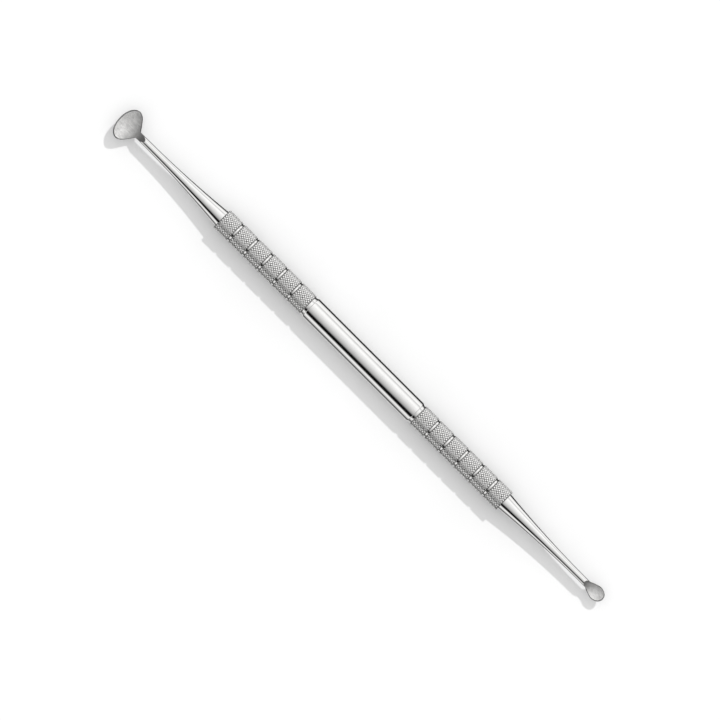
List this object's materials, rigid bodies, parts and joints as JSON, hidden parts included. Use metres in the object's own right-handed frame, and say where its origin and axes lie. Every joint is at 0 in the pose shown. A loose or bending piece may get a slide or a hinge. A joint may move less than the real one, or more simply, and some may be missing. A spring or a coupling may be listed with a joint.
{
  "type": "cuticle pusher",
  "caption": "Slim double-ended steel nail tool: knurled round handle, wide curved pusher blade at one end, small drop-shaped spoon at the other.",
  "frame": {"origin": "on the handle's axis, midway along the smooth barrel", "axes": "+X along the tool towards the small spoon, with the wide pusher at -X; +Z out of the hollow faces of both blades"},
  "size_m": [0.1402, 0.0074, 0.005],
  "materials": {
    "handle_steel": "polished, with knurled grips",
    "pusher_steel": "polished shank, satin ground hollow",
    "spoon_steel": "polished shank, satin ground hollow"
  },
  "bodies": {
    "root": {"handle": "handle_steel", "wide_pusher": "pusher_steel", "small_spoon": "spoon_steel"}
  },
  "joints": []
}
